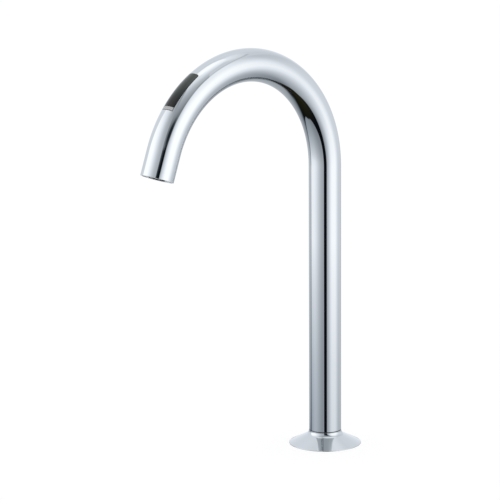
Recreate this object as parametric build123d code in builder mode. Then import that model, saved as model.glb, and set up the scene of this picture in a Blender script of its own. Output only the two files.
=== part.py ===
from build123d import *

import os
from math import atan2, cos, degrees, radians, sin

os.makedirs("parts", exist_ok=True)

# A gooseneck water filter faucet that works without touch. Its spout is one bent tube that
# swivels on a brass post. The deck it is mounted on is the plane z = 0, the column stands on
# the Z axis, and the spout reaches along -X. All lengths are in millimetres, all angles in
# degrees.

# Spout tube: column, arch and tail in one piece
tube_radius = 12.5
tube_wall = 1.2
column_top = 219.4
bend_radius = 85.0
bend_angle = 160.0
tail_length = 20.0

# Flange on the deck
flange_radius = 28.0
rim_height = 0.5
cone_slope = 26.0
neck_radius = 12.7
neck_top = 10.6
cove_radius = 3.8

# Swivel
swivel_limit = 60.0
post_radius = 9.95
socket_bore_radius = 10.0
post_bore_radius = 8.0
post_top = 46.0
foot_gap = 0.05
slip_ring_height = 0.5

# Shank and what clamps it under the deck
shank_radius = 10.0
shank_length = 70.0
deck_thickness = 20.0

# Water line and sensor lead
water_tube_radius = 3.175
water_tube_bore_radius = 2.1
water_stub_length = 30.0
lead_radius = 1.0
lead_offset = 6.4

# Sensor window and light strip, as angles round the arch from the top of the column
opening_start = 120.8
strip_start = 140.2
opening_end = 142.0
opening_half_width = 5.48
seal_gap = 0.35
window_thickness = 1.9
board_angle = 131.4

# Outlet
outlet_chamber_radius = 7.8
outlet_bore_radius = 6.4
outlet_body_length = 16.0

# Places worked out from the driving dimensions
tube_inner_radius = tube_radius - tube_wall
arch_centre = Vector(-bend_radius, 0, column_top)
arch_axis = Axis(arch_centre, (0, -1, 0))
foot_bottom = neck_top + slip_ring_height + foot_gap
seal_angle = degrees(seal_gap / (bend_radius + tube_radius))


def outward(angle):
    """Direction from the arch centre to the tube, at an angle round the arch."""
    return Vector(cos(radians(angle)), 0, sin(radians(angle)))


def onward(angle):
    """Direction in which the water flows, at an angle round the arch."""
    return Vector(-sin(radians(angle)), 0, cos(radians(angle)))


def section_plane(angle, along=0.0):
    """Plane square to the tube, with its x axis to the outside of the arch."""
    origin = arch_centre + outward(angle) * bend_radius + onward(angle) * along
    return Plane(origin=origin, x_dir=outward(angle), z_dir=onward(angle))


def crown_plane(angle, height):
    """Plane along the tube, a height above its centre line, that faces out of the arch."""
    origin = arch_centre + outward(angle) * (bend_radius + height)
    return Plane(origin=origin, x_dir=onward(angle), z_dir=outward(angle))


def bent_tube(radius, bore, offset, bottom, angle, tail):
    """A round tube up the column, over the arch and straight on, beside its centre line."""
    with BuildPart() as tube:
        with BuildSketch(Plane.XY.offset(bottom)):
            with Locations((offset, 0)):
                Circle(radius)
                if bore:
                    Circle(bore, mode=Mode.SUBTRACT)
        extrude(amount=column_top - bottom)
        with BuildSketch(section_plane(0)):
            with Locations((offset, 0)):
                Circle(radius)
                if bore:
                    Circle(bore, mode=Mode.SUBTRACT)
        revolve(axis=arch_axis, revolution_arc=angle)
        with BuildSketch(section_plane(angle)):
            with Locations((offset, 0)):
                Circle(radius)
                if bore:
                    Circle(bore, mode=Mode.SUBTRACT)
        extrude(amount=tail)
    return tube.part


def arch_strip(start, end, half_width, low, high):
    """A strip of the tube's wall on the outer crown, between two angles and two radii."""
    with BuildPart() as strip:
        with BuildSketch(section_plane(start)):
            Circle(high)
            if low:
                Circle(low, mode=Mode.SUBTRACT)
            with Locations((high, 0)):
                Rectangle(high, 2 * half_width, mode=Mode.INTERSECT)
        revolve(axis=arch_axis, revolution_arc=end - start)
    return strip.part


def start_corners(part, start):
    """The two edges of a strip that point outwards at its upper end."""
    plane = section_plane(start)
    return part.edges().filter_by(Axis(plane.origin, plane.x_dir))


# Base flange: a turned brass cone with a cove into the neck, chromed. The post's shoulder
# sits in its counterbore and a rubber ring in its underside.
flange_bore_radius = 10.2
shoulder_radius = 11.3
shoulder_bottom = 7.6
counterbore_gap = 0.1
gasket_inner_radius = 17.0
gasket_outer_radius = 24.4
gasket_thickness = 1.2
rim_round = 0.3
cone_height = (flange_radius - neck_radius) * sin(radians(cone_slope)) / cos(radians(cone_slope))
neck_blank_top = neck_top + cove_radius

with BuildPart() as base_flange:
    with BuildSketch(Plane.XZ) as flange_profile:
        with BuildLine():
            Polyline(
                (0, 0),
                (flange_radius, 0),
                (flange_radius, rim_height),
                (neck_radius, rim_height + cone_height),
                (neck_radius, neck_blank_top),
                (0, neck_blank_top),
                close=True,
            )
        make_face()
        corners = flange_profile.vertices()
        cove_corner = corners.sort_by_distance((neck_radius, rim_height + cone_height))[0]
        fillet(cove_corner, cove_radius)
        rim_corner = flange_profile.vertices().sort_by_distance((flange_radius, rim_height))[0]
        fillet(rim_corner, rim_round)
    revolve(axis=Axis.Z)
    split(bisect_by=Plane.XY.offset(neck_top), keep=Keep.BOTTOM)
    with BuildSketch(Plane.XY):
        Circle(flange_bore_radius)
    extrude(amount=neck_top, mode=Mode.SUBTRACT)
    with BuildSketch(Plane.XY.offset(shoulder_bottom)):
        Circle(shoulder_radius + counterbore_gap)
    extrude(amount=neck_top - shoulder_bottom, mode=Mode.SUBTRACT)
    with BuildSketch(Plane.XY):
        Circle(gasket_outer_radius)
        Circle(gasket_inner_radius, mode=Mode.SUBTRACT)
    extrude(amount=gasket_thickness, mode=Mode.SUBTRACT)
base_flange.part.label = "base_flange"
export_step(base_flange.part, "parts/base_flange.step")

# Base gasket: a flat rubber ring, flush with the flange's underside
with BuildPart() as base_gasket:
    with BuildSketch(Plane.XY):
        Circle(gasket_outer_radius)
        Circle(gasket_inner_radius, mode=Mode.SUBTRACT)
    extrude(amount=gasket_thickness)
base_gasket.part.label = "base_gasket"
export_step(base_gasket.part, "parts/base_gasket.step")

# Slip ring: a black plastic ring that the foot of the spout turns on
slip_ring_inset = 0.25
slip_ring_radius = tube_radius - slip_ring_inset

with BuildPart() as slip_ring:
    with BuildSketch(Plane.XY.offset(neck_top)):
        Circle(slip_ring_radius)
        Circle(socket_bore_radius, mode=Mode.SUBTRACT)
    extrude(amount=slip_ring_height)
slip_ring.part.label = "slip_ring"
export_step(slip_ring.part, "parts/slip_ring.step")

# Swivel post: turned brass, with grooves for two bushes, two rings and the stop screw. Its
# lower end is the threaded shank.
bush_floor_radius = 9.05
bush_height = 4.0
bush_bottoms = {"lower_bush": 12.6, "upper_bush": 40.0}
ring_floor_radius = 8.8
ring_groove_width = 1.5
ring_groove_bottoms = (29.0, 33.5)
stop_floor_radius = 8.9
stop_screw_height = 21.5
stop_groove_width = 3.6
stop_pin_radius = 1.4
stop_pin_half_angle = degrees(stop_pin_radius / stop_floor_radius)
stop_groove_angle = swivel_limit + stop_pin_half_angle
end_chamfer = 0.8
stop_start = radians(-stop_groove_angle)
stop_start_plane = Plane(
    origin=(0, 0, 0),
    x_dir=(cos(stop_start), sin(stop_start), 0),
    z_dir=(sin(stop_start), -cos(stop_start), 0),
)

with BuildPart() as swivel_post:
    with BuildSketch(Plane.XY.offset(-shank_length)):
        Circle(shank_radius)
    extrude(amount=shank_length + shoulder_bottom)
    with BuildSketch(Plane.XY.offset(shoulder_bottom)):
        Circle(shoulder_radius)
    extrude(amount=neck_top - shoulder_bottom)
    with BuildSketch(Plane.XY.offset(neck_top)):
        Circle(post_radius)
    extrude(amount=post_top - neck_top)
    ends = swivel_post.edges().filter_by(GeomType.CIRCLE).group_by(Axis.Z)
    chamfer(ends[0] + ends[-1], end_chamfer)
    with BuildSketch(Plane.XY.offset(-shank_length)):
        Circle(post_bore_radius)
    extrude(amount=shank_length + post_top, mode=Mode.SUBTRACT)
    with BuildSketch(Plane.XZ):
        for groove_bottom in bush_bottoms.values():
            with Locations((bush_floor_radius, groove_bottom)):
                Rectangle(post_radius, bush_height, align=(Align.MIN, Align.MIN))
        for groove_bottom in ring_groove_bottoms:
            with Locations((ring_floor_radius, groove_bottom)):
                Rectangle(post_radius, ring_groove_width, align=(Align.MIN, Align.MIN))
    revolve(axis=Axis.Z, mode=Mode.SUBTRACT)
    with BuildSketch(stop_start_plane):
        with Locations((stop_floor_radius, stop_screw_height)):
            Rectangle(post_radius, stop_groove_width, align=(Align.MIN, Align.CENTER))
    revolve(axis=Axis.Z, revolution_arc=2 * stop_groove_angle, mode=Mode.SUBTRACT)
swivel_post.part.label = "swivel_post"
export_step(swivel_post.part, "parts/swivel_post.step")

# Bushes: split plastic bearing rings in the post's grooves, a running fit in the socket
bush_radius = 9.97
bush_split = 0.8

for bush_name, bush_bottom in bush_bottoms.items():
    with BuildPart() as bush:
        with BuildSketch(Plane.XY.offset(bush_bottom)):
            Circle(bush_radius)
            Circle(bush_floor_radius, mode=Mode.SUBTRACT)
            with Locations((0, bush_radius)):
                Rectangle(bush_split, bush_radius, mode=Mode.SUBTRACT)
        extrude(amount=bush_height)
    bush.part.label = bush_name
    export_step(bush.part, f"parts/{bush_name}.step")

# Swivel rings: two rubber rings that drag lightly on the socket and keep splashes out
ring_section_radius = 0.57

with BuildPart() as swivel_o_rings:
    with BuildSketch(Plane.XZ):
        for groove_bottom in ring_groove_bottoms:
            with Locations(
                (ring_floor_radius + ring_section_radius, groove_bottom + ring_groove_width / 2)
            ):
                Circle(ring_section_radius)
    revolve(axis=Axis.Z)
swivel_o_rings.part.label = "swivel_o_rings"
export_step(swivel_o_rings.part, "parts/swivel_o_rings.step")

# Mounting washer: soft rubber against the underside of the deck
washer_bore_radius = 10.1
rubber_washer_radius = 18.5
rubber_washer_thickness = 3.4
rubber_washer_round = 0.6

with BuildPart() as mounting_washer:
    with BuildSketch(Plane.XY.offset(-deck_thickness - rubber_washer_thickness)):
        Circle(rubber_washer_radius)
        Circle(washer_bore_radius, mode=Mode.SUBTRACT)
    extrude(amount=rubber_washer_thickness)
    round_edges = mounting_washer.edges().filter_by(GeomType.CIRCLE)
    fillet(round_edges.group_by(SortBy.RADIUS)[-1], rubber_washer_round)
mounting_washer.part.label = "mounting_washer"
export_step(mounting_washer.part, "parts/mounting_washer.step")

# Steel washer: spreads the nut's load over the rubber
steel_washer_radius = 19.0
steel_washer_thickness = 1.6
steel_washer_top = -deck_thickness - rubber_washer_thickness

with BuildPart() as steel_washer:
    with BuildSketch(Plane.XY.offset(steel_washer_top - steel_washer_thickness)):
        Circle(steel_washer_radius)
        Circle(washer_bore_radius, mode=Mode.SUBTRACT)
    extrude(amount=steel_washer_thickness)
steel_washer.part.label = "steel_washer"
export_step(steel_washer.part, "parts/steel_washer.step")

# Lock nut: a thin hexagon nut on the shank, with its outer corners turned off
nut_across_flats = 30.0
nut_height = 8.0
nut_corner_radius = 16.6
nut_bore_chamfer = 0.6
nut_top = steel_washer_top - steel_washer_thickness

with BuildPart() as lock_nut:
    with BuildSketch(Plane.XY.offset(nut_top - nut_height)):
        RegularPolygon(nut_across_flats / 2, 6, major_radius=False)
    extrude(amount=nut_height)
    with BuildSketch(Plane.XY.offset(nut_top - nut_height)):
        Circle(nut_corner_radius)
    extrude(amount=nut_height, mode=Mode.INTERSECT)
    with BuildSketch(Plane.XY.offset(nut_top - nut_height)):
        Circle(shank_radius)
    extrude(amount=nut_height, mode=Mode.SUBTRACT)
    bore_edges = lock_nut.edges().filter_by(GeomType.CIRCLE).group_by(SortBy.RADIUS)[0]
    chamfer(bore_edges, nut_bore_chamfer)
lock_nut.part.label = "lock_nut"
export_step(lock_nut.part, "parts/lock_nut.step")

# End guide: a plastic plug in the lower end of the shank. Its hub steadies the water line,
# and its window lets the lead and its connector swing with the spout.
guide_depth = 6.0
guide_lip_radius = 9.4
guide_lip_height = 2.0
guide_hub_radius = 4.1
guide_hub_gap = 0.05
connector_radius = 1.7
connector_offset = 6.1
window_clearance = 3.0
connector_half_angle = degrees(atan2(connector_radius, connector_offset))
guide_window_angle = swivel_limit + connector_half_angle + window_clearance
guide_bottom = -shank_length - guide_lip_height

with BuildPart() as end_guide:
    with BuildSketch(Plane.XY.offset(-shank_length)):
        Circle(post_bore_radius)
    extrude(amount=guide_depth)
    with BuildSketch(Plane.XY.offset(guide_bottom)):
        Circle(guide_lip_radius)
    extrude(amount=guide_lip_height)
    with BuildSketch(Plane.XY.offset(guide_bottom)):
        with BuildLine():
            hub_arc = CenterArc(
                (0, 0), guide_hub_radius, -guide_window_angle, 2 * guide_window_angle
            )
            outer_arc = CenterArc(
                (0, 0), post_bore_radius, -guide_window_angle, 2 * guide_window_angle
            )
            Line(hub_arc @ 0, outer_arc @ 0)
            Line(hub_arc @ 1, outer_arc @ 1)
        make_face()
        Circle(water_tube_radius + guide_hub_gap)
    extrude(amount=guide_lip_height + guide_depth, mode=Mode.SUBTRACT)
end_guide.part.label = "end_guide"
export_step(end_guide.part, "parts/end_guide.step")

# Sensor opening: the hole in the tube's wall that takes the window, the light strip and the
# seal. It is a shape to cut with, not a piece.
corner_radius = 1.6
cut_margin = 2.0
cut_high = tube_radius + cut_margin

with BuildPart() as sensor_opening:
    add(arch_strip(opening_start, opening_end, opening_half_width, 0, cut_high))
    fillet(start_corners(sensor_opening.part, opening_start), corner_radius)

# Spout pipe: a chromed brass tube, bent in one piece, with the sensor opening on the outside
# of the arch and a tapped hole for the stop screw at the back of the foot
stop_screw_radius = 2.0
foot_chamfer = 0.3
pipe_blank = bent_tube(
    tube_radius, tube_inner_radius, 0, foot_bottom, bend_angle, tail_length
)

with BuildPart() as spout_pipe:
    add(pipe_blank)
    add(sensor_opening.part, mode=Mode.SUBTRACT)
    with BuildSketch(Plane.YZ.offset(socket_bore_radius)):
        with Locations((0, stop_screw_height)):
            Circle(stop_screw_radius)
    extrude(amount=tube_radius, mode=Mode.SUBTRACT)
    foot_edges = spout_pipe.edges().filter_by(GeomType.CIRCLE).group_by(Axis.Z)[0]
    chamfer(foot_edges.sort_by(SortBy.RADIUS)[-1], foot_chamfer)
spout_pipe.part.label = "spout_pipe"
export_step(spout_pipe.part, "parts/spout_pipe.step")

# Spout socket: a brass sleeve soldered into the foot of the tube
socket_top = 49.0

with BuildPart() as spout_socket:
    with BuildSketch(Plane.XY.offset(foot_bottom)):
        Circle(tube_inner_radius)
        Circle(socket_bore_radius, mode=Mode.SUBTRACT)
    extrude(amount=socket_top - foot_bottom)
    with BuildSketch(Plane.YZ):
        with Locations((0, stop_screw_height)):
            Circle(stop_screw_radius)
    extrude(amount=tube_radius, mode=Mode.SUBTRACT)
spout_socket.part.label = "spout_socket"
export_step(spout_socket.part, "parts/spout_socket.step")

# Swivel screw: a socket head set screw whose plain tip runs in the post's groove
screw_gap = 0.15
screw_recess = 0.4
screw_tip_start = stop_floor_radius + screw_gap
screw_thread_start = socket_bore_radius + screw_gap
screw_end = tube_radius - screw_recess
screw_hex_flats = 2.0
screw_hex_depth = 1.4

with BuildPart() as swivel_screw:
    with BuildSketch(Plane.YZ.offset(screw_tip_start)):
        with Locations((0, stop_screw_height)):
            Circle(stop_pin_radius)
    extrude(amount=screw_thread_start - screw_tip_start)
    with BuildSketch(Plane.YZ.offset(screw_thread_start)):
        with Locations((0, stop_screw_height)):
            Circle(stop_screw_radius)
    extrude(amount=screw_end - screw_thread_start)
    with BuildSketch(Plane.YZ.offset(screw_end - screw_hex_depth)):
        with Locations((0, stop_screw_height)):
            RegularPolygon(screw_hex_flats / 2, 6, major_radius=False)
    extrude(amount=screw_hex_depth, mode=Mode.SUBTRACT)
swivel_screw.part.label = "swivel_screw"
export_step(swivel_screw.part, "parts/swivel_screw.step")

# Sensor window: dark plastic that lets infrared through, curved and flush with the tube
window_start = opening_start + seal_angle
window_half_width = opening_half_width - seal_gap
window_back_radius = tube_radius - window_thickness

with BuildPart() as sensor_window:
    add(
        arch_strip(
            window_start, strip_start, window_half_width, window_back_radius, tube_radius
        )
    )
    fillet(start_corners(sensor_window.part, window_start), corner_radius - seal_gap)
sensor_window.part.label = "sensor_window"
export_step(sensor_window.part, "parts/sensor_window.step")

# Indicator lens: a frosted strip below the window, with a tongue that leads the light to it
strip_end = opening_end - seal_angle
tongue_start = 138.2
tongue_half_width = 2.4
tongue_thickness = 0.9
tongue_low_radius = window_back_radius - tongue_thickness

with BuildPart() as indicator_lens:
    add(arch_strip(strip_start, strip_end, window_half_width, window_back_radius, tube_radius))
    add(
        arch_strip(
            tongue_start, strip_end, tongue_half_width, tongue_low_radius, window_back_radius
        )
    )
indicator_lens.part.label = "indicator_lens"
export_step(indicator_lens.part, "parts/indicator_lens.step")

# Window seal: a thin black frame that fills the gap round the window and the strip
seal_recess = 0.06
seal_high = tube_radius - seal_recess

with BuildPart() as window_filling:
    add(arch_strip(window_start, strip_end, window_half_width, 0, cut_high))
    fillet(start_corners(window_filling.part, window_start), corner_radius - seal_gap)

with BuildPart() as window_seal:
    add(
        arch_strip(
            opening_start, opening_end, opening_half_width, window_back_radius, seal_high
        )
    )
    fillet(start_corners(window_seal.part, opening_start), corner_radius)
    add(window_filling.part, mode=Mode.SUBTRACT)
window_seal.part.label = "window_seal"
export_step(window_seal.part, "parts/window_seal.step")

# Sensor holder: a black moulded tray that goes in through the opening and carries the board
holder_end_play = 0.3
holder_start = opening_start + holder_end_play
holder_end = opening_end - holder_end_play
holder_half_width = 4.8
holder_low = 4.6
board_seat = 7.0
board_length = 27.0
board_width = 7.8
board_thickness = 1.0
board_end_play = 0.4
board_side_play = 0.2
pocket_length = board_length + board_end_play
pocket_width = board_width + board_side_play
plug_start = -12.0
plug_length = 7.0
plug_width = 5.0
plug_height = 2.1
plug_play = 0.2
tongue_play = 0.1
lead_tail_angle = 119.5
lead_tail_length = 8.0
lead_hole_play = 0.05
lead_hole_overrun = 1.0

with BuildPart() as lead_hole:
    with BuildSketch(section_plane(lead_tail_angle)):
        with Locations((lead_offset, 0)):
            Circle(lead_radius + lead_hole_play)
    extrude(amount=lead_tail_length + lead_hole_overrun)

with BuildPart() as sensor_holder:
    with BuildSketch(section_plane(holder_start)):
        Circle(window_back_radius)
        with Locations((holder_low, 0)):
            Rectangle(
                window_back_radius,
                2 * holder_half_width,
                align=(Align.MIN, Align.CENTER),
                mode=Mode.INTERSECT,
            )
    revolve(axis=arch_axis, revolution_arc=holder_end - holder_start)
    with BuildSketch(crown_plane(board_angle, board_seat)):
        Rectangle(pocket_length, pocket_width)
    extrude(amount=tube_radius, mode=Mode.SUBTRACT)
    with BuildSketch(crown_plane(board_angle, board_seat - plug_height)):
        with Locations((plug_start, 0)):
            Rectangle(
                plug_length + plug_play, plug_width + plug_play, align=(Align.MIN, Align.CENTER)
            )
    extrude(amount=plug_height, mode=Mode.SUBTRACT)
    add(lead_hole.part, mode=Mode.SUBTRACT)
    add(
        arch_strip(
            tongue_start,
            opening_end,
            tongue_half_width + tongue_play,
            tongue_low_radius,
            cut_high,
        ),
        mode=Mode.SUBTRACT,
    )
sensor_holder.part.label = "sensor_holder"
export_step(sensor_holder.part, "parts/sensor_holder.step")

# Sensor board: the small circuit board on the tray's ledge
board_corner_radius = 0.6

with BuildPart() as sensor_board:
    with BuildSketch(crown_plane(board_angle, board_seat)):
        RectangleRounded(board_length, board_width, board_corner_radius)
    extrude(amount=board_thickness)
sensor_board.part.label = "sensor_board"
export_step(sensor_board.part, "parts/sensor_board.step")

# Infrared emitter: a square body with a domed lens
board_top = board_seat + board_thickness
emitter_place = -6.0
emitter_side = 3.0
emitter_body_height = 0.8
emitter_dome_radius = 1.2

with BuildPart() as ir_emitter:
    with BuildSketch(crown_plane(board_angle, board_top)):
        with Locations((emitter_place, 0)):
            Rectangle(emitter_side, emitter_side)
    extrude(amount=emitter_body_height)
    with Locations(crown_plane(board_angle, board_top + emitter_body_height)):
        with Locations((emitter_place, 0, 0)):
            Sphere(emitter_dome_radius, arc_size1=0)
ir_emitter.part.label = "ir_emitter"
export_step(ir_emitter.part, "parts/ir_emitter.step")

# Infrared receiver: a larger body with a flat round lens
receiver_place = 3.0
receiver_side = 4.2
receiver_body_height = 1.0
receiver_lens_radius = 1.5
receiver_lens_height = 0.5

with BuildPart() as ir_receiver:
    with BuildSketch(crown_plane(board_angle, board_top)):
        with Locations((receiver_place, 0)):
            Rectangle(receiver_side, receiver_side)
    extrude(amount=receiver_body_height)
    with BuildSketch(crown_plane(board_angle, board_top + receiver_body_height)):
        with Locations((receiver_place, 0)):
            Circle(receiver_lens_radius)
    extrude(amount=receiver_lens_height)
ir_receiver.part.label = "ir_receiver"
export_step(ir_receiver.part, "parts/ir_receiver.step")

# Status light: a small lamp at the end of the board, beside the tongue of the strip
lamp_place = 10.2
lamp_length = 1.4
lamp_width = 2.4
lamp_height = 0.7

with BuildPart() as status_led:
    with BuildSketch(crown_plane(board_angle, board_top)):
        with Locations((lamp_place, 0)):
            Rectangle(lamp_length, lamp_width)
    extrude(amount=lamp_height)
status_led.part.label = "status_led"
export_step(status_led.part, "parts/status_led.step")

# Lead plug: the white connector under the upper end of the board
with BuildPart() as lead_plug:
    with BuildSketch(crown_plane(board_angle, board_seat - plug_height)):
        with Locations((plug_start, 0)):
            Rectangle(plug_length, plug_width, align=(Align.MIN, Align.CENTER))
    extrude(amount=plug_height)
lead_plug.part.label = "lead_plug"
export_step(lead_plug.part, "parts/lead_plug.step")

# Sensor lead: a round black cable that lies along the outside of the bend, from the plug on
# the board down the column and through the post
connector_top = -60.0
lead_blank = bent_tube(
    lead_radius, 0, lead_offset, connector_top, lead_tail_angle, lead_tail_length
)
plug_face = crown_plane(board_angle, board_seat).origin + onward(board_angle) * plug_start

with BuildPart() as sensor_lead:
    add(lead_blank)
    split(bisect_by=Plane(origin=plug_face, z_dir=onward(board_angle)), keep=Keep.BOTTOM)
sensor_lead.part.label = "sensor_lead"
export_step(sensor_lead.part, "parts/sensor_lead.step")

# Lead socket: the round connector at the lower end of the lead, open downwards
connector_recess = 0.4
connector_bottom = guide_bottom + connector_recess
connector_mouth_radius = 1.25
connector_mouth_depth = 5.0
contact_radius = 0.25
contact_circle_radius = 0.6
contact_length = 3.5
contact_count = 3

with BuildPart() as lead_socket:
    with BuildSketch(Plane.XY.offset(connector_bottom)):
        with Locations((connector_offset, 0)):
            Circle(connector_radius)
    extrude(amount=connector_top - connector_bottom)
    with BuildSketch(Plane.XY.offset(connector_bottom)):
        with Locations((connector_offset, 0)):
            Circle(connector_mouth_radius)
    extrude(amount=connector_mouth_depth, mode=Mode.SUBTRACT)
    with BuildSketch(Plane.XY.offset(connector_bottom + connector_mouth_depth)):
        with Locations((connector_offset, 0)):
            with PolarLocations(contact_circle_radius, contact_count):
                Circle(contact_radius)
    extrude(amount=-contact_length)
lead_socket.part.label = "lead_socket"
export_step(lead_socket.part, "parts/lead_socket.step")

# Outlet body: a turned brass insert in the end of the tube, with a bore for the water line,
# grooves for its rings and a threaded chamber for the nozzle
outlet_recess = 0.4
chamber_depth = 7.4
line_socket_depth = 9.6
outlet_ring_floor_radius = 10.2
outlet_ring_width = 1.5
outlet_ring_places = (9.5, 12.5)
tube_seal_floor_radius = 4.3
tube_seal_place = 13.0
outlet_plane = section_plane(bend_angle, along=tail_length)


def upstream(distance):
    """Plane square to the outlet, a distance up the tube from its end."""
    return outlet_plane.offset(-distance)


with BuildPart() as outlet_body:
    with BuildSketch(upstream(outlet_body_length)):
        Circle(tube_inner_radius)
    extrude(amount=outlet_body_length - outlet_recess)
    with BuildSketch(upstream(chamber_depth)):
        Circle(outlet_chamber_radius)
    extrude(amount=chamber_depth, mode=Mode.SUBTRACT)
    with BuildSketch(upstream(line_socket_depth)):
        Circle(water_tube_bore_radius)
    extrude(amount=line_socket_depth, mode=Mode.SUBTRACT)
    with BuildSketch(upstream(outlet_body_length)):
        Circle(water_tube_radius)
    extrude(amount=outlet_body_length - line_socket_depth, mode=Mode.SUBTRACT)
    for place in outlet_ring_places:
        with BuildSketch(upstream(place)):
            Circle(tube_inner_radius)
            Circle(outlet_ring_floor_radius, mode=Mode.SUBTRACT)
        extrude(amount=outlet_ring_width, mode=Mode.SUBTRACT)
    with BuildSketch(upstream(tube_seal_place)):
        Circle(tube_seal_floor_radius)
    extrude(amount=outlet_ring_width, mode=Mode.SUBTRACT)
outlet_body.part.label = "outlet_body"
export_step(outlet_body.part, "parts/outlet_body.step")

# Outlet rings: two rubber rings that hold the insert tight in the tube
outlet_ring_section = (tube_inner_radius - outlet_ring_floor_radius) / 2

with BuildPart() as outlet_o_rings:
    for place in outlet_ring_places:
        with Locations(upstream(place - outlet_ring_width / 2)):
            Torus(outlet_ring_floor_radius + outlet_ring_section, outlet_ring_section)
outlet_o_rings.part.label = "outlet_o_rings"
export_step(outlet_o_rings.part, "parts/outlet_o_rings.step")

# Tube seal: the rubber ring round the end of the water line
tube_seal_section = (tube_seal_floor_radius - water_tube_radius) / 2

with BuildPart() as tube_seal:
    with Locations(upstream(tube_seal_place - outlet_ring_width / 2)):
        Torus(water_tube_radius + tube_seal_section, tube_seal_section)
tube_seal.part.label = "tube_seal"
export_step(tube_seal.part, "parts/tube_seal.step")

# Water tube: a quarter inch plastic line from below the shank up the column and over the arch
# into the outlet body. A push-in fitting goes on its lower end.
water_tube_bottom = -shank_length - water_stub_length
line_end_chamfer = 0.4
water_line = bent_tube(
    water_tube_radius,
    water_tube_bore_radius,
    0,
    water_tube_bottom,
    bend_angle,
    tail_length - line_socket_depth,
)

with BuildPart() as water_tube:
    add(water_line)
    line_end_edges = water_tube.edges().filter_by(GeomType.CIRCLE).group_by(Axis.Z)[0]
    chamfer(line_end_edges.sort_by(SortBy.RADIUS)[-1], line_end_chamfer)
water_tube.part.label = "water_tube"
export_step(water_tube.part, "parts/water_tube.step")

# Stream screen: a perforated steel disc across the chamber
screen_depth = chamber_depth
screen_thickness = 0.4
screen_hole_radius = 0.4
screen_pitch = 1.35
screen_rows = 5
holes_per_row = 6
disc_play = 0.1
disc_radius = outlet_chamber_radius - disc_play

with BuildPart() as stream_screen:
    with BuildSketch(upstream(screen_depth)):
        Circle(disc_radius)
        Circle(screen_hole_radius, mode=Mode.SUBTRACT)
        for row in range(1, screen_rows + 1):
            with PolarLocations(row * screen_pitch, holes_per_row * row):
                Circle(screen_hole_radius, mode=Mode.SUBTRACT)
    extrude(amount=screen_thickness)
stream_screen.part.label = "stream_screen"
export_step(stream_screen.part, "parts/stream_screen.step")

# Stream former: a plastic grid of long holes that makes the stream smooth
former_thickness = 3.0
former_hole_radius = 0.75
former_pitch = 1.95
former_rows = 3
former_depth = screen_depth - screen_thickness

with BuildPart() as stream_former:
    with BuildSketch(upstream(former_depth)):
        Circle(disc_radius)
        Circle(former_hole_radius, mode=Mode.SUBTRACT)
        for row in range(1, former_rows + 1):
            with PolarLocations(row * former_pitch, holes_per_row * row):
                Circle(former_hole_radius, mode=Mode.SUBTRACT)
    extrude(amount=former_thickness)
stream_former.part.label = "stream_former"
export_step(stream_former.part, "parts/stream_former.step")

# Nozzle ring: the chromed ring that screws in flush with the end of the tube, with two
# notches for a key
nozzle_length = former_depth - former_thickness
key_notch_width = 2.0
key_notch_depth = 1.0

with BuildPart() as nozzle_ring:
    with BuildSketch(upstream(nozzle_length)):
        Circle(outlet_chamber_radius)
        Circle(outlet_bore_radius, mode=Mode.SUBTRACT)
    extrude(amount=nozzle_length)
    with BuildSketch(upstream(key_notch_depth)):
        with Locations((0, outlet_chamber_radius), (0, -outlet_chamber_radius)):
            Rectangle(key_notch_width, outlet_chamber_radius)
        Circle(outlet_bore_radius, mode=Mode.SUBTRACT)
    extrude(amount=key_notch_depth, mode=Mode.SUBTRACT)
nozzle_ring.part.label = "nozzle_ring"
export_step(nozzle_ring.part, "parts/nozzle_ring.step")
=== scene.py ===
from math import asin, atan2, cos, degrees, pi, radians, sin, sqrt, tan

import bmesh
import bpy
from mathutils import Matrix, Vector


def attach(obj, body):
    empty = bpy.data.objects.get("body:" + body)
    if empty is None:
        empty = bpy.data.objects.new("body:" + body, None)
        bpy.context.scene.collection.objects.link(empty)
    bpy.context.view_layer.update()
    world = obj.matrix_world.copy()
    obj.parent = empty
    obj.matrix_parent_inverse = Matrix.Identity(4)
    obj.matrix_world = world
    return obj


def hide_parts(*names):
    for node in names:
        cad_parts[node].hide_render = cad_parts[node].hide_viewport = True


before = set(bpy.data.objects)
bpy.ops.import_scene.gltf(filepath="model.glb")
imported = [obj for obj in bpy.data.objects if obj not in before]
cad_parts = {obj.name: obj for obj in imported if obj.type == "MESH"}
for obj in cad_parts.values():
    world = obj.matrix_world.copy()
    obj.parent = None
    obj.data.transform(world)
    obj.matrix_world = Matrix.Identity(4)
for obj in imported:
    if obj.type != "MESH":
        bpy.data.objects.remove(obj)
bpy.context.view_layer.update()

# The swivel post: the brass post that the spout turns on, in one piece with the shank that goes
# down through the deck. It is turned from bar, so it shows fine rings round its axis and a dull
# bloom.


class Value:
    """One socket of a node tree that sums, products and the like can be made of."""

    def __init__(self, tree, socket):
        self.tree = tree
        self.socket = socket

    def maths(self, operation, *others):
        return self.tree.node(
            "ShaderNodeMath", {"operation": operation}, dict(enumerate((self, *others)))
        )

    def __add__(self, other):
        return self.maths("ADD", other)

    def __sub__(self, other):
        return self.maths("SUBTRACT", other)

    def __rsub__(self, other):
        return self.tree.node(
            "ShaderNodeMath", {"operation": "SUBTRACT"}, {0: other, 1: self}
        )

    def __mul__(self, other):
        return self.maths("MULTIPLY", other)

    def __truediv__(self, other):
        return self.maths("DIVIDE", other)

    __radd__ = __add__
    __rmul__ = __mul__


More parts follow.
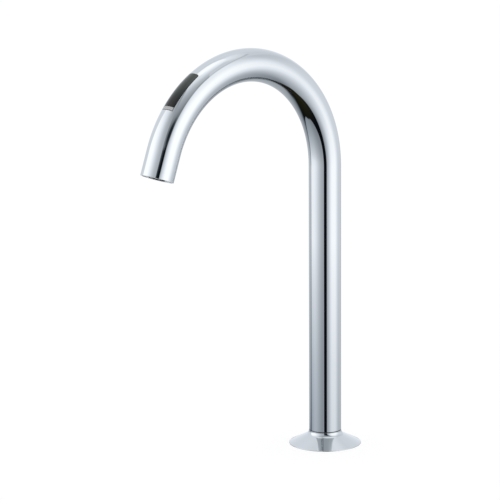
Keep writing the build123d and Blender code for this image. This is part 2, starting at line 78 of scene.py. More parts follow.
class Tree:
    """The nodes of one material, or of the surroundings."""

    def __init__(self, owner):
        owner.use_nodes = True
        self.nodes = owner.node_tree.nodes
        self.links = owner.node_tree.links
        self.nodes.clear()

    def node(self, kind, settings=None, inputs=None, output=0):
        """A node of a kind, with its settings first and then what goes into its sockets."""
        made = self.nodes.new(kind)
        for name, value in (settings or {}).items():
            if name == "stops":
                ramp = made.color_ramp.elements
                while len(ramp) > 1:
                    ramp.remove(ramp[-1])
                for place, (position, colour) in enumerate(value):
                    stop = ramp[0] if place == 0 else ramp.new(position)
                    stop.position = position
                    stop.color = (*colour, 1.0)
            else:
                setattr(made, name, value)
        for name, value in (inputs or {}).items():
            if isinstance(value, Value):
                self.links.new(value.socket, made.inputs[name])
            elif hasattr(value, "__len__") and len(value) == 3 and made.inputs[name].type == "RGBA":
                made.inputs[name].default_value = (*value, 1.0)
            else:
                made.inputs[name].default_value = value
        return Value(self, made.outputs[output]) if made.outputs else None

    def place(self, stretch=(1.0, 1.0, 1.0)):
        """Where a point is on the object, in metres, stretched along its axes."""
        spot = self.node("ShaderNodeTexCoord", output="Object")
        return self.node("ShaderNodeMapping", {}, {"Vector": spot, "Scale": stretch})

    def noise(self, scale, detail=2.0, stretch=(1.0, 1.0, 1.0), roughness=0.5):
        """Soft uneven values about 0.5, with features of 1 / scale metres."""
        return self.node(
            "ShaderNodeTexNoise",
            {},
            {
                "Vector": self.place(stretch),
                "Scale": scale,
                "Detail": detail,
                "Roughness": roughness,
            },
        )

    def split(self, spot):
        """A place or a direction as three values, along X, Y and Z."""
        return [
            self.node("ShaderNodeSeparateXYZ", {}, {"Vector": spot}, output=axis)
            for axis in range(3)
        ]

    def spread(self, value, low, high, start=0.0, end=1.0):
        """A value from low to high brought to the span from start to end, and kept in it."""
        return self.node(
            "ShaderNodeMapRange",
            {"interpolation_type": "SMOOTHSTEP"},
            {"Value": value, 1: low, 2: high, 3: start, 4: end},
        )

    def ramp(self, value, low, high, start=0.0, end=1.0):
        """The same in a straight line."""
        return self.node(
            "ShaderNodeMapRange", {}, {"Value": value, 1: low, 2: high, 3: start, 4: end}
        )

    def blend(self, share, first, second):
        """A colour between two, by a share."""
        return self.node(
            "ShaderNodeMix", {"data_type": "RGBA"}, {0: share, 6: first, 7: second}, output=2
        )

    def bump(self, height, depth, strength=1.0):
        """A relief of a depth in metres."""
        return self.node(
            "ShaderNodeBump", {}, {"Height": height, "Distance": depth, "Strength": strength}
        )


class Finish(Tree):
    """A material, made of one shader on the whole surface."""

    def __init__(self, name):
        self.material = bpy.data.materials.new(name)
        super().__init__(self.material)

    def surface(self, **inputs):
        """Closes the material with a shader that has these inputs."""
        sockets = {name.replace("_", " "): value for name, value in inputs.items()}
        shader = self.node("ShaderNodeBsdfPrincipled", {}, sockets)
        self.node("ShaderNodeOutputMaterial", {}, {"Surface": shader})
        return self.material


def wear(node, finish):
    """Gives a piece that keeps its own shape its finish."""
    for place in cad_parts[node].material_slots:
        place.material = finish


thread_pitch = 0.0015
thread_low, thread_high = -0.069, -0.006
thread_root, thread_crest = 0.0094, 0.0098


def thread_relief(finish):
    """Height of a screw thread round the Z axis, along the shank only."""
    east, north, height = finish.split(finish.place())
    turned = north.maths("ARCTAN2", east) / (2 * pi)
    flank = (height / thread_pitch + turned).maths("PINGPONG", 0.5) * 2.0
    radius = (east * east + north * north).maths("SQRT")
    return (
        flank
        * finish.spread(height, thread_low, thread_low + thread_pitch)
        * finish.spread(height, thread_high, thread_high - thread_pitch)
        * finish.spread(radius, thread_root, thread_crest)
    )


def brass_finish(name, shine, threaded=False):
    """Turned brass, with fine rings round the Z axis and a bloom where it has dulled."""
    brass = Finish(name)
    rings = brass.noise(9.0, 3.0, stretch=(0.0, 0.0, 260.0))
    bloom = brass.spread(brass.noise(90.0, 5.0), 0.42, 0.68)
    colour = brass.blend(bloom * 0.65, (0.73, 0.53, 0.24), (0.48, 0.32, 0.13))
    return brass.surface(
        Base_Color=colour,
        Metallic=1.0,
        Roughness=shine + rings * 0.14 + bloom * 0.16,
        Normal=brass.bump(rings * 0.04 + thread_relief(brass), 0.0008)
        if threaded
        else brass.bump(rings, 0.00003),
    )


turned_brass = brass_finish("turned_brass", 0.16)
wear("swivel_post", brass_finish("threaded_brass", 0.18, threaded=True))

# The base flange: the cone that stands on the deck, with a cove up into a short neck. It is
# turned from brass, polished and chromed, and the post's shoulder clamps it down.
flange_radius = 0.028
flange_rim_height = 0.0005
flange_slope = 26.0
flange_neck_radius = 0.0127
flange_neck_top = 0.0106
flange_bore = 0.0102
flange_counterbore = 0.0114
shoulder_bottom = 0.0076
cove_radius = 0.0038
rim_round = 0.0003
flange_edge_round = 0.00012
gasket_span = (0.017, 0.0244)
gasket_thickness = 0.0012


def chrome_finish():
    """Mirror chrome: almost no roughness, a trace of polishing haze and faint wipe marks."""
    chrome = Finish("mirror_chrome")
    haze = chrome.noise(22.0, 4.0)
    wiped = chrome.noise(260.0, 3.0, stretch=(1.0, 1.0, 0.12))
    return chrome.surface(
        Base_Color=chrome.blend(haze, (0.584, 0.608, 0.620), (0.610, 0.635, 0.648)),
        Metallic=1.0,
        Specular_Tint=(0.78, 0.79, 0.80),
        Roughness=0.018 + haze * 0.02 + wiped * 0.014,
        Normal=chrome.bump(haze, 0.00001, 0.25),
    )


def piece(name, mesh, finish, body, replaced):
    """Closes a mesh and puts it in the scene as a piece of the faucet."""
    data = bpy.data.meshes.new(name)
    mesh.to_mesh(data)
    mesh.free()
    data.materials.append(finish)
    made = bpy.data.objects.new(name, data)
    bpy.context.scene.collection.objects.link(made)
    for face in data.polygons:
        face.use_smooth = True
    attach(made, body)
    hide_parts(replaced)
    return made


def soften(made, width, segments=3, angle=35.0):
    """Rounds the sharp edges of a piece a little and keeps its faces true beside them."""
    edge = made.modifiers.new("edges", "BEVEL")
    edge.width = width
    edge.segments = segments
    edge.limit_method = "ANGLE"
    edge.angle_limit = radians(angle)
    edge.harden_normals = True
    edge.use_clamp_overlap = True
    return made


def outline(points, closed=True):
    """A mesh with one line through points in the XZ plane, each given as radius and height."""
    mesh = bmesh.new()
    corners = [mesh.verts.new((radius, 0.0, height)) for radius, height in points]
    for first, second in zip(corners, corners[1:] + corners[:1] if closed else corners[1:]):
        mesh.edges.new((first, second))
    return mesh, corners


def turn(mesh, segments=128, centre=(0.0, 0.0, 0.0), axis=(0.0, 0.0, 1.0)):
    """Turns an outline once round an axis and points its faces outwards."""
    bmesh.ops.spin(
        mesh,
        geom=mesh.verts[:] + mesh.edges[:],
        cent=centre,
        axis=axis,
        angle=2 * pi,
        steps=segments,
        use_merge=True,
    )
    bmesh.ops.recalc_face_normals(mesh, faces=mesh.faces[:])
    return mesh


def round_corner(mesh, corner, offset, segments):
    """Rounds one corner of an outline, starting at a distance from it."""
    bmesh.ops.bevel(
        mesh,
        geom=[corner],
        offset=offset,
        offset_type="OFFSET",
        affect="VERTICES",
        segments=segments,
        profile=0.5,
        material=-1,
        clamp_overlap=False,
    )


mirror_chrome = chrome_finish()
cone_rise = (flange_radius - flange_neck_radius) * tan(radians(flange_slope))
neck_foot = flange_rim_height + cone_rise
flange_mesh, flange_corners = outline(
    [
        (flange_bore, 0.0),
        (gasket_span[0], 0.0),
        (gasket_span[0], gasket_thickness),
        (gasket_span[1], gasket_thickness),
        (gasket_span[1], 0.0),
        (flange_radius, 0.0),
        (flange_radius, flange_rim_height),
        (flange_neck_radius, neck_foot),
        (flange_neck_radius, neck_foot + cove_radius),
        (flange_bore, neck_foot + cove_radius),
    ]
)
corner_share = tan(radians((90.0 - flange_slope) / 2))
round_corner(flange_mesh, flange_corners[7], cove_radius * corner_share, 20)
round_corner(flange_mesh, flange_corners[6], rim_round * corner_share, 4)
bmesh.ops.bisect_plane(
    flange_mesh,
    geom=flange_mesh.verts[:] + flange_mesh.edges[:],
    plane_co=(0.0, 0.0, flange_neck_top),
    plane_no=(0.0, 0.0, 1.0),
    clear_outer=True,
)
neck_ends = sorted(
    (v for v in flange_mesh.verts if v.co.z > flange_neck_top - 1e-6), key=lambda v: v.co.x
)
seat = [
    flange_mesh.verts.new(spot)
    for spot in (
        (flange_counterbore, 0.0, flange_neck_top),
        (flange_counterbore, 0.0, shoulder_bottom),
        (flange_bore, 0.0, shoulder_bottom),
    )
]
flange_mesh.edges.new((neck_ends[-1], seat[0]))
flange_mesh.edges.new((seat[0], seat[1]))
flange_mesh.edges.new((seat[1], seat[2]))
bore_foot = neck_ends[0].link_edges[0].other_vert(neck_ends[0])
flange_mesh.verts.remove(neck_ends[0])
flange_mesh.edges.new((seat[2], bore_foot))
turn(flange_mesh, 160)
flange = piece("flange", flange_mesh, mirror_chrome, "base", "base_flange")
soften(flange, flange_edge_round, 2)
# Mirrors leave the flange out, because its bright cone would show as a spot under the arch.
flange.visible_glossy = False
# The cone is straight, so its shading follows the cone and not the small round of its rim.
shading = flange.modifiers.new("shading", "WEIGHTED_NORMAL")
shading.weight = 100

# Base gasket, washers and lock nut: the rubber ring under the flange seals it to the deck. Under
# the deck a soft rubber washer, a steel one and a thin brass nut on the shank clamp the faucet.


def rubber_finish(name, shade, roughness):
    """Moulded rubber: matt, with a fine bloom and the mould's grain."""
    rubber = Finish(name)
    grain = rubber.noise(2600.0, 3.0)
    bloom = rubber.spread(rubber.noise(140.0, 4.0), 0.45, 0.75)
    return rubber.surface(
        Base_Color=rubber.blend(bloom, (shade,) * 3, (shade * 1.9, shade * 1.9, shade * 1.95)),
        Roughness=roughness + bloom * 0.12,
        Normal=rubber.bump(grain, 0.00004, 0.5),
    )


def steel_finish():
    """Stainless steel sheet with the fine grain of its rolling."""
    steel = Finish("rolled_steel")
    grain = steel.noise(60.0, 4.0, stretch=(1.0, 40.0, 1.0))
    return steel.surface(
        Base_Color=steel.blend(grain, (0.52, 0.525, 0.53), (0.66, 0.665, 0.67)),
        Metallic=1.0,
        Roughness=0.24 + grain * 0.16,
        Normal=steel.bump(grain, 0.00002, 0.5),
    )


black_rubber = rubber_finish("black_rubber", 0.022, 0.62)
rolled_steel = steel_finish()
for rubber_piece in ("base_gasket", "mounting_washer"):
    wear(rubber_piece, black_rubber)
wear("steel_washer", rolled_steel)
wear("lock_nut", brass_finish("nut_brass", 0.24))

# Bushes, swivel rings and slip ring: two split plastic bushes carry the spout on the post, and
# two rubber rings between them make it turn without play. A thin black ring lies between the
# neck and the foot of the column.


def plastic_finish(name, colour, roughness, grain_depth=0.00002):
    """Moulded plastic: even, with the mould's fine grain and slight changes of gloss."""
    plastic = Finish(name)
    grain = plastic.noise(3200.0, 2.0)
    cloud = plastic.noise(120.0, 3.0)
    deep = tuple(channel * 0.86 for channel in colour)
    return plastic.surface(
        Base_Color=plastic.blend(cloud, deep, colour),
        Roughness=roughness + cloud * 0.12,
        Normal=plastic.bump(grain, grain_depth, 0.4),
    )


white_plastic = plastic_finish("white_acetal", (0.80, 0.80, 0.77), 0.34)
black_plastic = plastic_finish("black_acetal", (0.022, 0.022, 0.024), 0.38)
for bush in ("lower_bush", "upper_bush"):
    wear(bush, white_plastic)
wear("swivel_o_rings", black_rubber)
wear("slip_ring", black_plastic)

# The end guide: a black plug in the lower end of the shank. Its hub steadies the water line, and
# its window leaves the lead room to swing with the spout.
wear("end_guide", black_plastic)

# The spout pipe: column, arch and tail are one brass tube, bent, polished and chromed. On the
# outside of the arch it has the opening for the sensor window, and at the back of the foot a
# tapped hole.
tube_radius = 0.0125
tube_wall = 0.0012
column_foot = 0.01115
column_top = 0.2194
bend_radius = 0.085
bend_angle = 160.0
tail_length = 0.02
opening_start = 120.8
opening_end = 142.0
opening_half_width = 0.00548
opening_corner = 0.0016
corner_blend = 1.2
screw_height = 0.0215
screw_hole_radius = 0.002
crown_columns = 18
side_columns = 102
pipe_edge_round = 0.0004
arch_centre = Vector((-bend_radius, 0.0, column_top))
arch_axis = (0.0, -1.0, 0.0)


def outward(angle):
    """Direction from the arch's centre, at an angle in degrees from the top of the column."""
    return Vector((cos(radians(angle)), 0.0, sin(radians(angle))))


def on_tube(angle, turned, radius):
    """A point round the tube's centre line, at an angle of the arch, turned from its crown."""
    out = outward(angle)
    spoke = out * cos(turned) + Vector((0.0, 1.0, 0.0)) * sin(turned)
    return arch_centre + out * bend_radius + spoke * radius


def corner_rows(start, half_width, corner, steps=6):
    """Angles of the rows through a rounded corner, each with the half width there."""
    rows = []
    for step in range(steps + 1):
        swing = radians(90.0 * step / steps)
        along = corner * (1.0 - cos(swing))
        across = half_width - corner * (1.0 - sin(swing))
        rows.append((start + degrees(along / (bend_radius + tube_radius)), across))
    return rows


def even_rows(start, end, count):
    """Angles from just after start up to end, evenly spaced."""
    return [start + (end - start) * step / count for step in range(1, count + 1)]


half_turn = asin(opening_half_width / tube_radius)
corners_here = corner_rows(opening_start, opening_half_width, opening_corner)
blend_start = opening_start - corner_blend
row_angles = (
    even_rows(0.0, blend_start, 118)
    + even_rows(blend_start, opening_start, 5)
    + [angle for angle, across in corners_here[1:]]
    + even_rows(corners_here[-1][0], opening_end, 26)
    + even_rows(opening_end, bend_angle, 18)
)


def edge_turn(angle):
    """How far from the crown the opening's edge line runs, before, in and after its corner."""
    if angle <= opening_start:
        full, narrow = half_turn, asin(corners_here[0][1] / tube_radius)
        share = max(0.0, (angle - blend_start) / (opening_start - blend_start))
        return full + (narrow - full) * share * share
    for row, across in corners_here:
        if abs(row - angle) < 1e-4:
            return asin(across / tube_radius)
    return half_turn


pipe_mesh = bmesh.new()
turns = [half_turn * (2 * column / crown_columns - 1) for column in range(crown_columns + 1)]
turns += [
    half_turn + (2 * pi - 2 * half_turn) * column / side_columns
    for column in range(1, side_columns)
]
foot_ring = [
    pipe_mesh.verts.new((tube_radius * cos(angle), tube_radius * sin(angle), column_foot))
    for angle in turns
]
ring_edges = [
    pipe_mesh.edges.new((first, second))
    for first, second in zip(foot_ring, foot_ring[1:] + foot_ring[:1])
]


def pull(mesh, edges, offset):
    """Extrudes a ring of edges and moves it on; returns the new ring."""
    made = bmesh.ops.extrude_edge_only(mesh, edges=edges)["geom"]
    points = [item for item in made if isinstance(item, bmesh.types.BMVert)]
    bmesh.ops.translate(mesh, verts=points, vec=offset)
    return [item for item in made if isinstance(item, bmesh.types.BMEdge)]


hole_patch = 0.0031
hole_patch_turn = 14.5
foot_row = 0.002
top_row = 0.004
column_rows = [column_foot + foot_row]
column_rows += [screw_height + hole_patch * step / 3 for step in range(-3, 4)]
column_rows += [column_top - top_row, column_top]
height = column_foot
for next_height in column_rows:
    ring_edges = pull(pipe_mesh, ring_edges, (0.0, 0.0, next_height - height))
    height = next_height

row_rings = []
angle = 0.0
for next_angle in row_angles:
    made = bmesh.ops.spin(
        pipe_mesh,
        geom=ring_edges,
        cent=arch_centre,
        axis=arch_axis,
        angle=radians(next_angle - angle),
        steps=1,
    )["geom_last"]
    ring_edges = [item for item in made if isinstance(item, bmesh.types.BMEdge)]
    row_rings.append((next_angle, [i for i in made if isinstance(i, bmesh.types.BMVert)]))
    angle = next_angle
onward = Vector((-sin(radians(bend_angle)), 0.0, cos(radians(bend_angle))))
pull(pipe_mesh, ring_edges, onward * tail_length)

far_turn = radians(75.0)
for row_angle, ring in row_rings:
    if blend_start < row_angle < corners_here[-1][0] + 1e-6:
        new_turn = edge_turn(row_angle)
        middle = arch_centre + outward(row_angle) * bend_radius
        for point in ring:
            spoke = point.co - middle
            turned = atan2(spoke.y, spoke.dot(outward(row_angle)))
            size, side = abs(turned), 1.0 if turned > 0 else -1.0
            if size <= half_turn + 1e-5:
                size *= new_turn / half_turn
            elif size < far_turn:
                size = far_turn - (far_turn - size) * (far_turn - new_turn) / (
                    far_turn - half_turn
                )
            point.co = on_tube(row_angle, side * size, tube_radius)


def opening_edge(row):
    """Half the turn that the opening takes up at an angle of the arch between two rows."""
    before = [(place, across) for place, across in corners_here if place < row]
    after = [(place, across) for place, across in corners_here if place >= row]
    if not after:
        return half_turn
    start, narrow = before[-1]
    end, wide = after[0]
    share = (row - start) / (end - start)
    return asin(narrow / tube_radius) * (1 - share) + asin(wide / tube_radius) * share


opening_faces = []
for face in pipe_mesh.faces:
    middle = face.calc_center_median()
    away = middle - arch_centre
    row = degrees(atan2(away.z, away.x))
    turned = abs(atan2(middle.y, sqrt(away.x**2 + away.z**2) - bend_radius))
    if away.z > 0 and opening_start < row < opening_end and turned < opening_edge(row):
        opening_faces.append(face)
bmesh.ops.delete(pipe_mesh, geom=opening_faces, context="FACES")

screw_patch = []
for face in pipe_mesh.faces:
    middle = face.calc_center_median()
    turned = degrees(atan2(middle.y, middle.x))
    if abs(middle.z - screw_height) < hole_patch and abs(turned) < hole_patch_turn:
        screw_patch.append(face)
patch_edges = {e for face in screw_patch for e in face.edges}
patch_rim = [e for e in patch_edges if sum(f in screw_patch for f in e.link_faces) == 1]
bmesh.ops.delete(pipe_mesh, geom=screw_patch, context="FACES")
hole = bmesh.ops.create_circle(
    pipe_mesh,
    segments=len(patch_rim),
    radius=screw_hole_radius,
    matrix=Matrix.Translation((0.0, 0.0, screw_height)) @ Matrix.Rotation(pi / 2, 4, "Y"),
)["verts"]
for point in hole:
    point.co.x = sqrt(tube_radius**2 - point.co.y**2)
hole_edges = list({e for point in hole for e in point.link_edges})
bmesh.ops.bridge_loops(pipe_mesh, edges=patch_rim + hole_edges)
bmesh.ops.recalc_face_normals(pipe_mesh, faces=pipe_mesh.faces[:])
pipe = piece("spout", pipe_mesh, mirror_chrome, "spout", "spout_pipe")
wall = pipe.modifiers.new("wall", "SOLIDIFY")
wall.thickness = tube_wall
wall.offset = -1.0
soften(pipe, pipe_edge_round, 4, 60.0)

# Spout socket and swivel screw: a brass sleeve is soldered into the foot of the tube and runs on
# the bushes. The set screw at the back goes through both, and its tip in the post's groove
# limits how far the spout turns.
wear("spout_socket", turned_brass)
wear("swivel_screw", rolled_steel)

# The outlet: a nickel plated brass insert in the end of the tube takes the water line. A steel
# screen and a plastic grid smooth the stream, and a chromed ring with two notches for a key
# holds them.


def nickel_finish():
    """A dull nickel plate over turned brass, a little uneven in its gloss."""
    nickel = Finish("dull_nickel")
    rings = nickel.noise(9.0, 3.0, stretch=(150.0, 0.0, 400.0))
    bloom = nickel.noise(140.0, 4.0)
    return nickel.surface(
        Base_Color=nickel.blend(bloom, (0.40, 0.395, 0.38), (0.55, 0.54, 0.52)),
        Metallic=1.0,
        Roughness=0.22 + bloom * 0.14,
        Normal=nickel.bump(rings, 0.00002, 0.5),
    )


wear("outlet_body", nickel_finish())
wear("outlet_o_rings", black_rubber)
wear("tube_seal", black_rubber)
wear("stream_screen", rolled_steel)
wear("stream_former", white_plastic)
wear("nozzle_ring", mirror_chrome)

# The water line: a quarter inch plastic tube in one length, from below the shank up through the
# post and over the arch to the outlet. It is natural white and slightly milky.
wear("water_tube", plastic_finish("milky_tube", (0.78, 0.80, 0.80), 0.30, 0.00001))

# The sensor lead: a thin round cable with a soft black sheath, from the plug on the sensor board
# down through the post to a small round connector under the shank.
wear("sensor_lead", rubber_finish("cable_sheath", 0.03, 0.5))
wear("lead_socket", black_plastic)
wear("lead_plug", white_plastic)

# The sensor: a moulded tray behind the window carries a small green circuit board with an
# infrared emitter, a receiver with a dark lens, and the lamp behind the light strip.


def board_finish():
    """Green solder mask over copper lines, which show as a slightly lighter relief."""
    board = Finish("solder_mask")
    lines = board.spread(board.noise(700.0, 0.0, stretch=(1.0, 0.25, 1.0)), 0.49, 0.52)
    return board.surface(
        Base_Color=board.blend(lines, (0.012, 0.11, 0.04), (0.03, 0.22, 0.09)),
        Roughness=0.28 + lines * 0.12,
        Normal=board.bump(lines, 0.00003),
    )


wear("sensor_holder", black_plastic)
wear("sensor_board", board_finish())
wear("ir_emitter", plastic_finish("clear_epoxy", (0.62, 0.68, 0.80), 0.12))
wear("ir_receiver", plastic_finish("dark_epoxy", (0.016, 0.014, 0.022), 0.14))
wear("status_led", plastic_finish("lamp_epoxy", (0.80, 0.80, 0.72), 0.2))

# Sensor window, light strip and seal: a dark plastic window lets only infrared light through,
# and the lamp lights the frosted strip under it. Both are curved to lie flush with the tube, in
# a thin black seal.


def window_finish():
    """Polished dark plastic, with painted reflection in its colour: lighter greenish grey towards
    its upper end and dark brown towards its lower end.
    """
    window = Finish("dark_window")
    cloud = window.noise(130.0, 3.0)
    height = window.split(window.place())[2]
    # Painted reflection: the colour rises from near black to greenish grey towards the upper end,
    # and turns dark brown over the lower end.
    upper = window.spread(height, window_low, window_high)
    lower = window.spread(height, window_low + window_painted_reflection_span, window_low)
    colour = window.blend(upper, (0.004, 0.005, 0.006), (0.062, 0.080, 0.070))
    colour = window.blend(lower * 0.5 + cloud * 0.1, colour, (0.012, 0.008, 0.007))
    return window.surface(
        Base_Color=colour, Roughness=0.04 + cloud * 0.05, Specular_IOR_Level=0.3
    )


def strip_finish():
    """Frosted light grey plastic."""
    strip = Finish("frosted_strip")
    frost = strip.noise(900.0, 3.0)
    return strip.surface(
        Base_Color=strip.blend(frost, (0.54, 0.55, 0.56), (0.66, 0.67, 0.68)),
        Roughness=0.30 + frost * 0.14,
        Normal=strip.bump(frost, 0.00002, 0.5),
    )


def seal_finish():
    """Black rubber, smoother than the rings under the deck, coloured darker than rubber is: partly
    its own black and partly painted shade of the thin gap round the window.
    """
    seal = Finish("seal_rubber")
    grain = seal.noise(2200.0, 2.0)
    return seal.surface(
        # Partly painted shade: near black, darker than rubber, so the thin seal reads as the shaded
        # gap round the window.
        Base_Color=seal.blend(grain, (0.001, 0.001, 0.001), (0.004, 0.004, 0.004)),
        Roughness=0.42 + grain * 0.1,
        Specular_IOR_Level=0.15,
        Normal=seal.bump(grain, 0.00002, 0.4),
    )


seal_gap = 0.00035
seal_angle = degrees(seal_gap / (bend_radius + tube_radius))
window_start = opening_start + seal_angle
strip_start = 140.2
strip_end = opening_end - seal_angle
panel_half_width = opening_half_width - seal_gap
panel_back = 0.0106
window_corner = 0.00125
window_edge_round = 0.00012
strip_edge_round = 0.0001
plate_step = 0.0006
plate_columns = 16
tongue_start = 138.2
tongue_half_width = 0.0024
tongue_back = 0.0097
# How far up from the window's lower end the painted reflection turns it dark brown.
window_painted_reflection_span = 0.009
window_high = column_top + (bend_radius + tube_radius) * sin(radians(window_start))
window_low = column_top + (bend_radius + tube_radius) * sin(radians(strip_start))


def bent_plate(mesh, start, end, half_width, back, front, corner=0.0):
    """Adds a plate with round upper corners, then bends it on to the crown of the arch."""
    length = radians(end - start) * (bend_radius + tube_radius)
    made = bmesh.ops.create_grid(mesh, x_segments=1, y_segments=1, size=1.0)["verts"]
    for point in made:
        point.co.x = (point.co.x + 1.0) / 2 * length
        point.co.y *= half_width
    top_face = made[0].link_faces[0]
    if corner:
        bmesh.ops.bevel(
            mesh,
            geom=[point for point in made if point.co.x < length / 2],
            offset=corner,
            offset_type="OFFSET",
            affect="VERTICES",
            segments=8,
            profile=0.5,
            material=-1,
        )
        top_face = next(face for face in mesh.faces if face.calc_center_median().z == 0.0)
    raised = bmesh.ops.extrude_face_region(mesh, geom=[top_face])["geom"]
    lifted = [item for item in raised if isinstance(item, bmesh.types.BMVert)]
    bmesh.ops.translate(mesh, verts=lifted, vec=(0.0, 0.0, front - back))
    for count, span, low, normal in (
        (round(length / plate_step), length, 0.0, (1.0, 0.0, 0.0)),
        (plate_columns, 2 * half_width, -half_width, (0.0, 1.0, 0.0)),
    ):
        for cut in range(1, count):
            place = Vector(normal) * (low + span * cut / count)
            bmesh.ops.bisect_plane(
                mesh,
                geom=mesh.verts[:] + mesh.edges[:] + mesh.faces[:],
                plane_co=place,
                plane_no=normal,
            )
    for point in mesh.verts:
        angle = start + degrees(point.co.x / (bend_radius + tube_radius))
        turned = asin(point.co.y / tube_radius)
        point.co = on_tube(angle, turned, back + point.co.z)
    bmesh.ops.recalc_face_normals(mesh, faces=mesh.faces[:])
    return mesh


window_mesh = bent_plate(
    bmesh.new(),
    window_start,
    strip_start,
    panel_half_width,
    panel_back,
    tube_radius,
    window_corner,
)
window = piece("window", window_mesh, window_finish(), "spout", "sensor_window")
soften(window, window_edge_round, 3, 50.0)

strip_mesh = bent_plate(
    bmesh.new(), strip_start, strip_end, panel_half_width, panel_back, tube_radius
)
tongue_mesh = bent_plate(
    bmesh.new(), tongue_start, strip_end, tongue_half_width, tongue_back, panel_back
)
tongue_data = bpy.data.meshes.new("tongue")
tongue_mesh.to_mesh(tongue_data)
tongue_mesh.free()
strip_mesh.from_mesh(tongue_data)
bpy.data.meshes.remove(tongue_data)
strip = piece(
    "light_strip", strip_mesh, strip_finish(), "spout", "indicator_lens"
)
soften(strip, strip_edge_round, 2, 50.0)
wear("window_seal", seal_finish())

# The studio: a pale floor under a soft white sky. The chrome shows two large white panels, the
# dark gap between them where the camera stands, a third panel behind and a dark floor below.
camera_place = Vector((-1.42220, -1.41430, 0.55600))
camera_turn = -135.16
camera_heading = -43.51
camera_pitch = -11.35
camera_roll = -0.38
sensor_width = 36.0
camera_lens = sensor_width * 2653.81 / 500.0
floor_half = 30.0
table_reach = 0.83
mirror_strength = 1.62
soft_strength = 0.72
white = (1.0, 1.0, 1.0)

floor_mesh = bmesh.new()
bmesh.ops.create_grid(floor_mesh, x_segments=8, y_segments=8, size=floor_half)
floor_data = bpy.data.meshes.new("floor")
floor_mesh.to_mesh(floor_data)
floor_mesh.free()
floor = bpy.data.objects.new("floor", floor_data)
bpy.context.scene.collection.objects.link(floor)

# Mirrors look through the floor. Near the faucet it darkens what they show, more so on the left,
# so the column gets darker towards its foot, as in the photo.
pale = Finish("pale_floor")
seen = pale.node("ShaderNodeLightPath", output="Is Camera Ray")
mirrored = pale.node("ShaderNodeLightPath", output="Is Glossy Ray")
matt = pale.node("ShaderNodeBsdfDiffuse", {}, {"Color": (0.55, 0.55, 0.55)})
glow = pale.node("ShaderNodeEmission", {}, {"Color": white, "Strength": 0.62})
bright = pale.node("ShaderNodeAddShader", {}, {0: matt, 1: glow})
shown_floor = pale.node("ShaderNodeMixShader", {}, {0: seen, 1: matt, 2: bright})
east, north = pale.split(pale.place())[:2]
away = (east * east + north * north + 0.000001).maths("SQRT")
to_front = (east + north) * -0.707 / away
to_left = pale.spread((north - east) * 0.707 / away, 0.0, 0.3) * (0.62 - to_front * 0.28)
to_right = pale.spread((east * 0.5 - north * 0.866) / away, 0.0, 0.8, 0.0, 0.24)
sides = to_left * pale.spread(to_front, -0.9, -0.3) + to_right
clear = 1.0 - pale.ramp(away, 0.0, table_reach, 1.0, 0.0) * sides
tinted = pale.node("ShaderNodeBsdfTransparent", {}, {"Color": (0.0, 0.06, 0.13)})
through = pale.node("ShaderNodeBsdfTransparent", {}, {"Color": white})
veil = pale.node("ShaderNodeMixShader", {}, {0: clear, 1: tinted, 2: through})
surface = pale.node("ShaderNodeMixShader", {}, {0: mirrored, 1: shown_floor, 2: veil})
pale.node("ShaderNodeOutputMaterial", {}, {"Surface": surface})
floor_data.materials.append(pale.material)

world = bpy.data.worlds.new("studio")
bpy.context.scene.world = world
world.cycles.sampling_method = "NONE"
studio = Tree(world)
gaze = studio.node(
    "ShaderNodeMapping",
    {"vector_type": "POINT"},
    {
        "Vector": studio.node("ShaderNodeTexCoord", output="Generated"),
        "Rotation": (0.0, 0.0, radians(-camera_turn)),
    },
)
# In degrees, side runs round from the camera, rear runs round from the point behind the faucet,
# and lift is the height over the horizon.
ahead, aside, up = studio.split(gaze)
side = aside.maths("ARCTAN2", ahead) * (180.0 / pi)
rear = (0.0 - aside).maths("ARCTAN2", 0.0 - ahead) * (180.0 / pi)
lift = up.maths("ARCSINE") * (180.0 / pi)


def panel(across, left, right, low, high, corner, soft):
    """How much of a rounded panel shows in a direction, from 0 outside to 1 inside it."""
    past_side = (across - (left + right) / 2).maths("ABSOLUTE") - ((right - left) / 2 - corner)
    past_end = (lift - (low + high) / 2).maths("ABSOLUTE") - ((high - low) / 2 - corner)
    past_side, past_end = past_side.maths("MAXIMUM", 0.0), past_end.maths("MAXIMUM", 0.0)
    gap = (past_side * past_side + past_end * past_end).maths("SQRT") - corner
    return studio.spread(gap, -soft, soft, 1.0, 0.0)


def screen(red, green, blue):
    """The light of a colour that a screen shows with values from 0 to 255."""
    return tuple(((value / 255 + 0.055) / 1.055) ** 2.4 for value in (red, green, blue))


def cool_grey(brightness):
    """The light of a slightly cool grey that a screen shows at a brightness from 0 to 1."""
    tones = (260 * brightness - 5, 255 * brightness + 2, 255 * brightness + 7)
    return screen(*(min(max(tone, 0), 255) for tone in tones))


def over(below, mask, above):
    """One brightness laid over another through a mask."""
    return below + mask * (above - below)


# Overhead the studio brightens towards the back. Under that are the gap in front of the faucet,
# the pale fill all round its back, and a thin seam over the right panel.
flat = ahead / (ahead * ahead + aside * aside + 0.000001).maths("SQRT")
top = studio.ramp(lift, 50.0, 80.0, 0.74, 0.93) - flat * studio.ramp(lift, 60.0, 85.0, 0.16, 0.06)
level = studio.spread(lift, 16.2, 22.5, 0.024, 0.44)
level = over(level, studio.spread(lift, 34.0, 52.0), top.maths("MINIMUM", 1.0))
fill_rise = studio.ramp(lift, 48.0, 64.0, 0.0, 0.10)
fill = 0.78 + fill_rise * panel(rear, -75.0, -20.0, 40.0, 80.0, corner=12.0, soft=12.0)
fill_shown = panel(rear, -117.2, 91.1, -9.7, 65.8, corner=12.0, soft=1.3)
level = over(level, fill_shown, fill)
level = level - panel(side, 44.0, 130.0, 48.6, 51.0, corner=1.1, soft=1.2) * 0.1

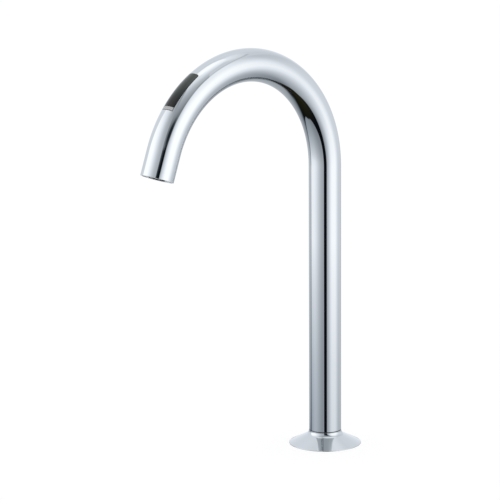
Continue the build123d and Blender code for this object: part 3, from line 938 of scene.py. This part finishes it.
# The panel behind, darker towards its foot, with a brighter middle.
behind = 0.82 - studio.spread(lift, -31.1, 8.2, 0.201, 0.0)
behind = behind + panel(rear, -17.1, 21.0, -39.0, 12.5, corner=10.0, soft=28.6) * 0.137
behind_shown = panel(rear, -29.7, 68.9, -78.3, 60.9, corner=26.2, soft=12.7)
level = over(level, behind_shown, behind)

# The left panel fades towards the gap, the right one towards both its sides.
left_rise = studio.ramp(lift, -62.0, 5.0, 0.28, 0.635) - studio.spread(lift, 16.8, 91.8, 0.0, 0.329)
left_panel = 0.368 + left_rise * studio.spread(side, -86.0, -6.0, 1.0, 0.449)
left_shown = panel(side, -112.4, -6.8, -61.4, 75.3, corner=37.2, soft=1.5)
level = over(level, left_shown, left_panel)
right_rise = studio.ramp(lift, -66.0, -5.0, 0.655, 1.0) - studio.spread(lift, 8.4, 38.7, 0.0, 0.088)
right_far = studio.spread(side, 73.5, 113.9, 1.0, 0.816)
right_near = studio.spread(side, -2.2, 54.6, 0.574, 1.0)
right_shown = panel(side, 12.2, 152.4, -73.3, 45.9, corner=51.1, soft=3.0)
level = over(level, right_shown, right_rise * (right_far * right_near))
frame_line = right_shown * (1.0 - right_shown) * studio.spread(side, 15.0, 60.0, 0.5, 0.0)
level = level - frame_line
level = over(level, panel(side, 2.9, 22.3, 18.9, 35.7, corner=8.0, soft=5.0), 0.132)

shown = behind_shown.maths("MAXIMUM", left_shown).maths("MAXIMUM", right_shown)
below = studio.spread(lift, -76.0, -46.6, 1.0, 0.0) * (1.0 - shown)
grey_steps = (0.0, 0.1, 0.2, 0.3, 0.45, 0.6, 0.75, 0.9, 1.0)
stops = [(brightness, cool_grey(brightness)) for brightness in grey_steps]
tint = studio.node("ShaderNodeValToRGB", {"stops": stops}, {"Fac": level})
dark_brown = screen(34, 33, 22)
tint = studio.blend(below, tint, dark_brown)

seen = studio.node("ShaderNodeLightPath", output="Is Camera Ray")
mirrored = studio.node("ShaderNodeLightPath", output="Is Glossy Ray")
soft_light = studio.node("ShaderNodeBackground", {}, {"Color": white, "Strength": soft_strength})
mirror_light = studio.node(
    "ShaderNodeBackground", {}, {"Color": tint, "Strength": mirror_strength}
)
backdrop = studio.node("ShaderNodeBackground", {}, {"Color": white, "Strength": 1.0})
light = studio.node("ShaderNodeMixShader", {}, {0: mirrored, 1: soft_light, 2: mirror_light})
light = studio.node("ShaderNodeMixShader", {}, {0: seen, 1: light, 2: backdrop})
studio.node("ShaderNodeOutputWorld", {}, {"Surface": light})

heading, pitch, roll = (radians(a) for a in (camera_heading, camera_pitch, camera_roll))
forward = Vector((-sin(heading) * cos(pitch), cos(heading) * cos(pitch), sin(pitch)))
level_right = Vector((cos(heading), sin(heading), 0.0))
level_up = level_right.cross(forward)
right = level_right * cos(roll) + level_up * sin(roll)
upward = level_up * cos(roll) - level_right * sin(roll)
camera_data = bpy.data.cameras.new("camera")
camera_data.sensor_width = sensor_width
camera_data.lens = camera_lens
camera_data.clip_end = 100.0
camera = bpy.data.objects.new("camera", camera_data)
bpy.context.scene.collection.objects.link(camera)
turned_axes = Matrix((right, upward, -forward)).transposed().to_4x4()
camera.matrix_world = Matrix.Translation(camera_place) @ turned_axes
bpy.context.scene.camera = camera
bpy.context.scene.view_settings.view_transform = "Standard"
